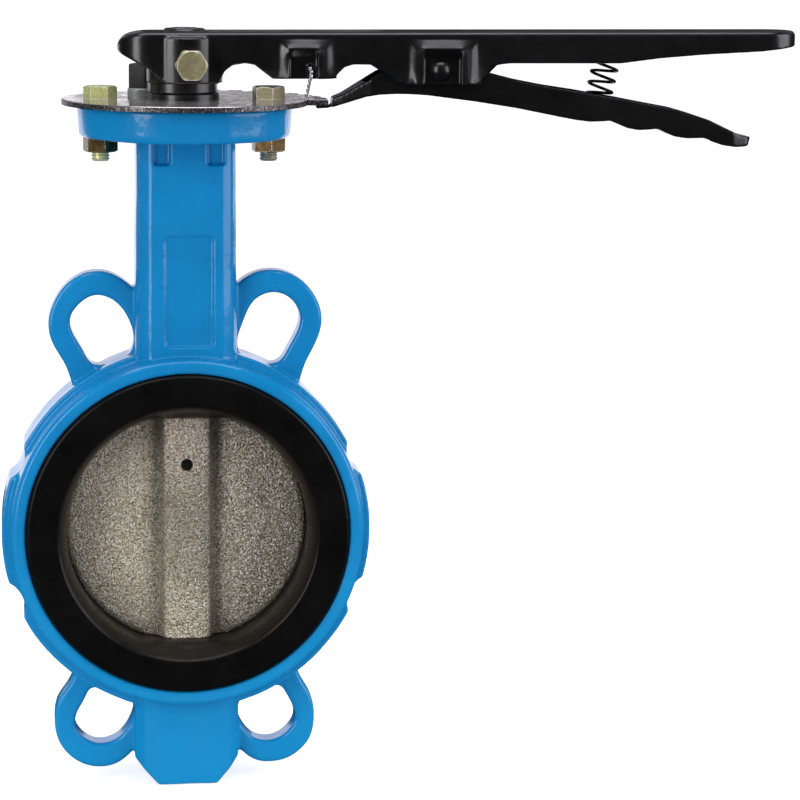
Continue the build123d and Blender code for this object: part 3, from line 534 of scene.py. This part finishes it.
# ------------------------------------------------- the castings and pressings
def soft_copy(node, name, voxel_mm, rounds, body, slot):
    """The node's shape with soft edges: remeshed finely, then relaxed."""
    obj = add_object(name, nodes[node].data.copy())
    obj.data.materials.clear()
    if obj.data.attributes.get("custom_normal"):
        obj.data.attributes.remove(obj.data.attributes["custom_normal"])
    weld = obj.modifiers.new("weld", "WELD")
    weld.merge_threshold = 1e-6
    bake(obj)
    remesh = obj.modifiers.new("remesh", "REMESH")
    remesh.mode = "VOXEL"
    remesh.voxel_size = voxel_mm * MM
    remesh.use_smooth_shade = True
    bake(obj)
    move_vertices(obj, relax(obj, read_vertices(obj), rounds))
    smooth_shade(obj)
    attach(obj, body)
    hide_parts(node)
    dress(obj, MATERIALS[slot])
    return obj


def valve_body():
    """Lumpy casting, left true where it is machined."""
    casting = soft_copy("valve_body", "valve_body_casting", voxel_mm=0.6,
                        rounds=4, body="body", slot="blue_epoxy")
    places = read_vertices(casting)
    x, y, z = places.T
    from_bore = np.hypot(x, z)
    from_stem = np.hypot(x, y)
    from_bolt = np.hypot(np.abs(x) - 0.035, y)
    machined = np.maximum.reduce([
        fade_in(np.abs(y) - 0.0236, over=0.0004) * (from_bore < 0.075),  # the two end faces
        from_bore < 0.0690,
        fade_in(z - 0.1790, over=0.0006),  # the top face
        from_stem < 0.0125,
        (from_bolt < 0.010) & (z > 0.160),
    ])
    lumps_mm = (value_noise(places, scale=55, seed=3) * 0.17
                + value_noise(places, scale=140, seed=5) * 0.06)
    push_out(casting, lumps_mm * (1 - machined))


def disc():
    """Pitted casting, left true at its rim, hub ends, stem hole and pin hole."""
    casting = soft_copy("disc", "disc_casting", voxel_mm=0.5, rounds=3,
                        body="lever", slot="nickel_iron")
    places = read_vertices(casting)
    x, y, z = places.T
    free = (fade_in(0.0500 - np.linalg.norm(places, axis=1), over=0.0010)
            * fade_in(0.0472 - np.abs(z), over=0.0008)
            * fade_in(np.hypot(x, y) - 0.0083, over=0.0005)
            * fade_in(np.hypot(x, z - 0.0277) - 0.0031, over=0.0006))
    sink_mm = 0.14
    pits_mm = (value_noise(places, scale=1150, seed=7) * 0.11
               + value_noise(places, scale=560, seed=9) * 0.09
               + value_noise(places, scale=90, seed=11) * 0.05 - sink_mm)
    push_out(casting, pits_mm * free)


def handle():
    """Pressed shell; the swells in its side walls are relaxed into flowing shapes."""
    shell = soft_copy("handle", "handle_shell", voxel_mm=0.5, rounds=3,
                      body="lever", slot="black_gloss")
    # each swell along x: its start and end, then the start and end of the pocket left out of it
    swells = [
        (0.0325, 0.0675, 0.0426, 0.0550),
        (0.0865, 0.1295, 0.0992, 0.1156),
    ]
    wall_y, wall_bottom, wall_top, pocket_top = 12.2 * MM, 0.1905, 0.2080, 0.2045
    places = read_vertices(shell)
    x, y, z = places.T
    walls = (np.abs(y) > wall_y) & (z > wall_bottom) & (z < wall_top)
    zone = np.zeros(len(places), bool)
    for start, end, pocket_start, pocket_end in swells:
        pocket = (x > pocket_start) & (x < pocket_end) & (z < pocket_top)
        zone |= (x > start) & (x < end) & ~pocket
    relaxed = relax(shell, places[:, 1:2], rounds=330, keep=1.0 - (walls & zone))
    places[:, 1] = relaxed[:, 0]
    move_vertices(shell, places)


def trigger():
    soft_copy("trigger", "trigger_channel", voxel_mm=0.5, rounds=4,
              body="trigger", slot="black_gloss")


def seat_liner():
    """Moulded liner, softened further in the pads around the stem axis."""
    liner = soft_copy("seat_liner", "seat_liner_moulding", voxel_mm=0.7,
                      rounds=2, body="body", slot="black_epdm")
    places = read_vertices(liner)
    x, y, z = places.T
    pads = (np.abs(y) > 0.0140) & (np.abs(y) < 0.0238) & (np.hypot(x, z) < 0.0550)
    pads &= np.abs(x) < 0.0255
    move_vertices(liner, relax(liner, places, rounds=55, keep=1.0 - pads))


# ------------------------------------------------------ spring, rivet and wire
def lever_piece(name, verts, faces, slot, stands_for):
    """A new smooth piece that moves with the lever."""
    mesh = bpy.data.meshes.new(name)
    mesh.from_pydata([tuple(vert) for vert in verts], [], faces)
    bm = bmesh.new()
    bm.from_mesh(mesh)
    bmesh.ops.recalc_face_normals(bm, faces=bm.faces)
    bm.to_mesh(mesh)
    bm.free()
    obj = add_object(name, mesh)
    smooth_shade(obj)
    dress(obj, MATERIALS[slot])
    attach(obj, "lever")
    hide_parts(stands_for)
    return obj


def frames(points, normal):
    """Point, tangent, normal and binormal along a path, without twist."""
    last = len(points) - 1
    for k, point in enumerate(points):
        tangent = (points[min(k + 1, last)] - points[max(k - 1, 0)]).normalized()
        normal = (normal - tangent * normal.dot(tangent)).normalized()
        yield point, tangent, normal, tangent.cross(normal)


# rings that round off a tube's end: share of the radius, push outwards in radii
ROUND_END = [(1.0, 0.0), (0.82, 0.5), (0.45, 0.85)]


def tube(points, radius, sides, first_index=0):
    """A closed tube with rounded ends; its vertices are numbered from first_index."""
    tangent = (points[1] - points[0]).normalized()
    across = Vector((0, 0, 1)) if abs(tangent.z) < 0.8 else Vector((1, 0, 0))
    across = (across - tangent * across.dot(tangent)).normalized()
    verts, faces, rings = [], [], []
    for k, (point, tangent, normal, binormal) in enumerate(frames(points, across)):
        shells = [(1.0, 0.0)]
        if k == 0:
            shells = [(scale, -push) for scale, push in reversed(ROUND_END)]
        elif k == len(points) - 1:
            shells = ROUND_END
        for scale, push in shells:
            ring = []
            for j in range(sides):
                angle = 2 * math.pi * j / sides
                ring.append(first_index + len(verts))
                verts.append(point + tangent * (push * radius)
                             + (normal * math.cos(angle) + binormal * math.sin(angle))
                             * (radius * scale))
            rings.append(ring)
    for ring, after in zip(rings, rings[1:]):
        for j in range(sides):
            k = (j + 1) % sides
            faces.append((ring[j], ring[k], after[k], after[j]))
    faces.append(tuple(reversed(rings[0])))
    faces.append(tuple(rings[-1]))
    return verts, faces


def smooth_path(points_mm, per_span):
    """Catmull-Rom curve through points in millimetres, returned in metres."""
    points = [Vector(point) for point in points_mm]
    points = [points[0] * 2 - points[1]] + points + [points[-1] * 2 - points[-2]]
    path = []
    for before, start, end, after in zip(points, points[1:], points[2:], points[3:]):
        for j in range(per_span):
            t = j / per_span
            path.append(0.5 * ((2 * start) + (end - before) * t
                               + (2 * before - 5 * start + 4 * end - after) * t * t
                               + (3 * start - before - 3 * end + after) * t * t * t) * MM)
    path.append(points[-2] * MM)
    return path


def trigger_coil():
    """Open coils between two closed end coils, built as one fixed piece on the lever; in the valve
    the trigger shortens it towards the handle.
    """
    low, high = Vector((0.1758, 0, 0.1781)), Vector((0.1820, 0, 0.2076))
    wire_radius, coil_radius = 0.00066, 0.0054
    turns, steps_per_turn, start_angle = 7.25, 36, 0.6
    closed_turns = 0.85
    closed_pitch = 2.05  # rise of a closed turn, in wire radii
    smoothing = 13  # steps averaged where closed coils meet open ones

    axis = (high - low).normalized()
    side = Vector((0, 1, 0))
    front = side.cross(axis).normalized()
    length = (high - low).length - 2 * wire_radius
    closed_height = closed_turns * closed_pitch * wire_radius
    rise = []
    for k in range(int(turns * steps_per_turn) + 1):
        turn = k / steps_per_turn
        if turn < closed_turns:
            rise.append(turn * closed_pitch * wire_radius)
        elif turn > turns - closed_turns:
            rise.append(length - (turns - turn) * closed_pitch * wire_radius)
        else:
            share = (turn - closed_turns) / (turns - 2 * closed_turns)
            rise.append(closed_height + share * (length - 2 * closed_height))
    padded = np.pad(rise, smoothing // 2, mode="edge")
    rise = np.convolve(padded, np.ones(smoothing) / smoothing, "valid")
    path = []
    for k, height in enumerate(rise):
        angle = 2 * math.pi * k / steps_per_turn + start_angle
        path.append(low + axis * (wire_radius + float(height))
                    + side * (coil_radius * math.cos(angle))
                    + front * (coil_radius * math.sin(angle)))
    verts, faces = tube(path, wire_radius, sides=12)
    coil = lever_piece("trigger_coil", verts, faces, "spring_steel", "trigger_spring")
    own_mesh(coil)


def trigger_rivet():
    """Rivet along Y with a domed head at each end."""
    centre_x, centre_z = 0.107, 0.195
    # millimetres
    half_length, head_radius, head_height = 15.65, 4.5, 2.6
    under_head_radius, shank_radius = 4.42, 3.0
    dome_steps, sides = 12, 64

    dome_radius = (head_radius**2 + head_height**2) / (2 * head_height)
    profile = [(0.0, -half_length)]  # radius, y
    for k in range(1, dome_steps + 1):
        radius = head_radius * k / dome_steps
        drop = dome_radius - math.sqrt(dome_radius * dome_radius - radius * radius)
        profile.append((radius, -half_length + drop))
    head_base = -(half_length - head_height)
    profile += [(under_head_radius, head_base), (shank_radius, head_base), (shank_radius, 0.0)]
    profile += [(radius, -y) for radius, y in reversed(profile[:-1])]

    verts, faces, rings = [], [], []
    for radius, y in profile:
        ring = []
        for j in range(1 if radius == 0.0 else sides):
            angle = 2 * math.pi * j / sides
            ring.append(len(verts))
            verts.append(Vector((centre_x + radius * MM * math.cos(angle), y * MM,
                                 centre_z + radius * MM * math.sin(angle))))
        rings.append(ring)
    for ring, after in zip(rings, rings[1:]):
        for j in range(sides):
            k = (j + 1) % sides
            if len(ring) == 1:
                faces.append((ring[0], after[j], after[k]))
            elif len(after) == 1:
                faces.append((ring[j], ring[k], after[0]))
            else:
                faces.append((ring[j], ring[k], after[k], after[j]))
    lever_piece("trigger_rivet", verts, faces, "black_gloss", "trigger_pin")


def twisted_lock_wire():
    """Two strands twisted together, hooked through the hole in the handle's -Y cheek."""
    # x, y, z in millimetres, from inside the handle to the hanging end
    spine = smooth_path([
        (51.55, -9.6, 196.1), (51.6, -12.2, 196.25), (51.75, -14.4, 196.15),
        (51.9, -15.5, 194.6), (51.7, -15.75, 192.4), (51.2, -15.55, 189.8),
        (50.7, -15.3, 187.2), (50.3, -15.1, 185.0), (49.9, -14.9, 183.9),
    ], per_span=14)
    twist_pitch, strand_radius, strand_offset = 0.0042, 0.00042, 0.00044

    lengths = np.cumsum([0.0] + [(end - start).length for start, end in zip(spine, spine[1:])])
    verts, faces = [], []
    for phase in (0.0, math.pi):
        strand = []
        spine_frames = frames(spine, Vector((1, 0, 0)))
        for length, (point, _, normal, binormal) in zip(lengths, spine_frames):
            angle = phase + 2 * math.pi * length / twist_pitch
            outward = normal * math.cos(angle) + binormal * math.sin(angle)
            strand.append(point + outward * strand_offset)
        new_verts, new_faces = tube(strand, strand_radius, sides=10, first_index=len(verts))
        verts += new_verts
        faces += new_faces
    lever_piece("twisted_lock_wire", verts, faces, "bright_wire", "lock_wire")


def dress_nodes():
    """Gives the CAD pieces still shown the material of their slot, or their own finish."""
    slot_of = {part["node"]: part["material_slot"] for part in frame["record"]["subparts"]}
    finish = {"plate_nuts": "plated_nut", "stop_post": "post_steel"}
    for name, obj in nodes.items():
        if not obj.hide_render:
            dress(obj, MATERIALS[finish.get(name, slot_of[name])])


# ------------------------------------------------------------------ the studio
def floor_material():
    """Bright to the camera, nearly black in reflections, light grey to bounced light."""
    material = bpy.data.materials.new("studio_floor")
    tree = Tree(material)
    tree.tree.nodes.clear()
    output = tree.node("OutputMaterial")
    path = tree.node("LightPath").outputs
    paper = tree.node("BsdfDiffuse", {"Color": (0.80, 0.80, 0.81)})
    lift = tree.node("Emission", {"Color": (1, 1, 1), "Strength": 0.66})
    seen = tree.node("AddShader", {0: paper.outputs[0], 1: lift.outputs[0]})
    dark = tree.node("Emission", {"Color": (0.014, 0.014, 0.016), "Strength": 1.0})
    bounce = tree.node("BsdfDiffuse", {"Color": (0.66, 0.66, 0.68)})
    unseen = tree.node("MixShader", {
        0: path["Is Glossy Ray"], 1: bounce.outputs[0], 2: dark.outputs[0]})
    surface = tree.node("MixShader", {
        0: path["Is Camera Ray"], 1: unseen.outputs[0], 2: seen.outputs[0]})
    tree.feed(output.inputs["Surface"], surface.outputs[0])
    return material


def studio_floor():
    """A flat round floor just below the valve, made of concentric rings."""
    gap, sides = 0.0002, 96
    radii = (0.5, 1.5, 4.0, 9.0, 14.0, 20.0)
    centre = Vector((0.09, 0.0, cad_low.z - gap))
    angles = [2 * math.pi * k / sides for k in range(sides)]
    bm = bmesh.new()
    rings = [[bm.verts.new((centre.x + radius * math.cos(angle),
                            centre.y + radius * math.sin(angle), centre.z))
              for angle in angles] for radius in radii]
    middle = bm.verts.new(centre)
    for j in range(sides):
        k = (j + 1) % sides
        bm.faces.new((middle, rings[0][j], rings[0][k]))
        for ring, outer in zip(rings, rings[1:]):
            bm.faces.new((ring[j], outer[j], outer[k], ring[k]))
    mesh = bpy.data.meshes.new("studio_floor")
    bm.to_mesh(mesh)
    bm.free()
    floor = add_object("studio_floor", mesh)
    dress(floor, floor_material())


def studio_world():
    """White to the camera, even grey as fill, and a dim room in reflections."""
    world = bpy.data.worlds.new("studio")
    scene.world = world
    tree = Tree(world)
    tree.tree.nodes.clear()
    output = tree.node("OutputWorld")
    path = tree.node("LightPath").outputs
    _, y, z = tree.split(tree.node("TexCoord").outputs["Generated"])
    # the room from -Y to +Y, with a glow above the horizon on the +Y side
    back = tree.math("ADD", tree.math("MULTIPLY", y, 0.5), 0.5)
    room = tree.ramp(back, [
        (0.0, (0.016, 0.016, 0.018)), (0.55, (0.030, 0.029, 0.034)),
        (0.80, (0.034, 0.032, 0.038)), (1.0, (0.018, 0.017, 0.021))])
    glow = tree.ramp(z, [
        (0.0, 0.0), (0.22, 0.0), (0.42, (0.20, 0.195, 0.235)),
        (0.72, (0.15, 0.145, 0.18)), (1.0, (0.03, 0.03, 0.04))])
    behind = tree.fade(y, start=0.10, end=0.40)
    room = tree.mix(1.0, room, tree.mix(1.0, glow, behind, "MULTIPLY"), "ADD")
    ambient = (0.50, 0.505, 0.52)
    colour = tree.mix(path["Is Glossy Ray"], ambient, room)
    colour = tree.mix(path["Is Camera Ray"], colour, (1.0, 1.0, 1.0))
    background = tree.node("Background", {"Color": colour, "Strength": 1.0})
    tree.feed(output.inputs["Surface"], background.outputs[0])


def softbox(name, place, size, power, colour, aim=(0.02, 0.0, 0.08)):
    """A rectangular light, hidden from the camera, that faces aim."""
    light = bpy.data.lights.new(name, "AREA")
    light.shape = "RECTANGLE"
    light.size, light.size_y = size
    light.energy = power
    light.color = colour
    obj = add_object(name, light)
    obj.location = place
    direction = Vector(aim) - Vector(place)
    obj.rotation_euler = direction.to_track_quat("-Z", "Y").to_euler()
    obj.visible_camera = False


def lights():
    cool = (0.97, 0.96, 1.0)
    softbox("overhead_box", place=(0.0, -0.25, 1.50), size=(1.3, 1.0), power=13, colour=cool)
    softbox("left_box", place=(-1.05, -0.95, 0.42), size=(0.55, 1.15), power=9.5,
            colour=(1.0, 0.985, 0.99))
    softbox("right_box", place=(1.45, -0.55, 0.45), size=(1.25, 1.2), power=12.5, colour=cool)
    # cards on the +Y side
    softbox("low_back_card", place=(0.02, 0.55, 0.060), size=(1.0, 0.28), power=1.15,
            colour=(0.93, 0.92, 1.0), aim=(0.02, 0.0, 0.055))
    softbox("left_plate_card", place=(-0.030, 0.55, 0.222), size=(0.064, 0.020), power=0.0080,
            colour=cool, aim=(-0.03, 0.0, 0.182))
    softbox("right_plate_card", place=(0.0975, 0.55, 0.224), size=(0.105, 0.016), power=0.0056,
            colour=cool, aim=(0.05, 0.0, 0.182))


def studio_camera():
    place_mm = Vector((-73.079, -1279.876, 270.956))
    forward = Vector((0.12660, 0.97782, -0.16684)).normalized()
    roll = math.radians(0.573)
    level = Vector((forward.y, -forward.x, 0)).normalized()
    upright = level.cross(forward)
    right = level * math.cos(roll) + upright * math.sin(roll)
    top = -level * math.sin(roll) + upright * math.cos(roll)
    camera = bpy.data.cameras.new("camera")
    camera.lens = 136.45
    camera.sensor_width = 36.0
    camera.clip_start, camera.clip_end = 0.01, 100.0
    obj = add_object("camera", camera)
    matrix = Matrix((right, top, -forward)).transposed().to_4x4()
    matrix.translation = place_mm * MM
    obj.matrix_world = matrix
    scene.camera = obj
    scene.view_settings.view_transform = "Standard"
    scene.view_settings.look = "None"
    scene.view_settings.exposure = 0.0
    scene.view_settings.gamma = 1.0


valve_body()
disc()
handle()
trigger()
seat_liner()
trigger_coil()
trigger_rivet()
twisted_lock_wire()
dress_nodes()
studio_floor()
studio_world()
lights()
studio_camera()
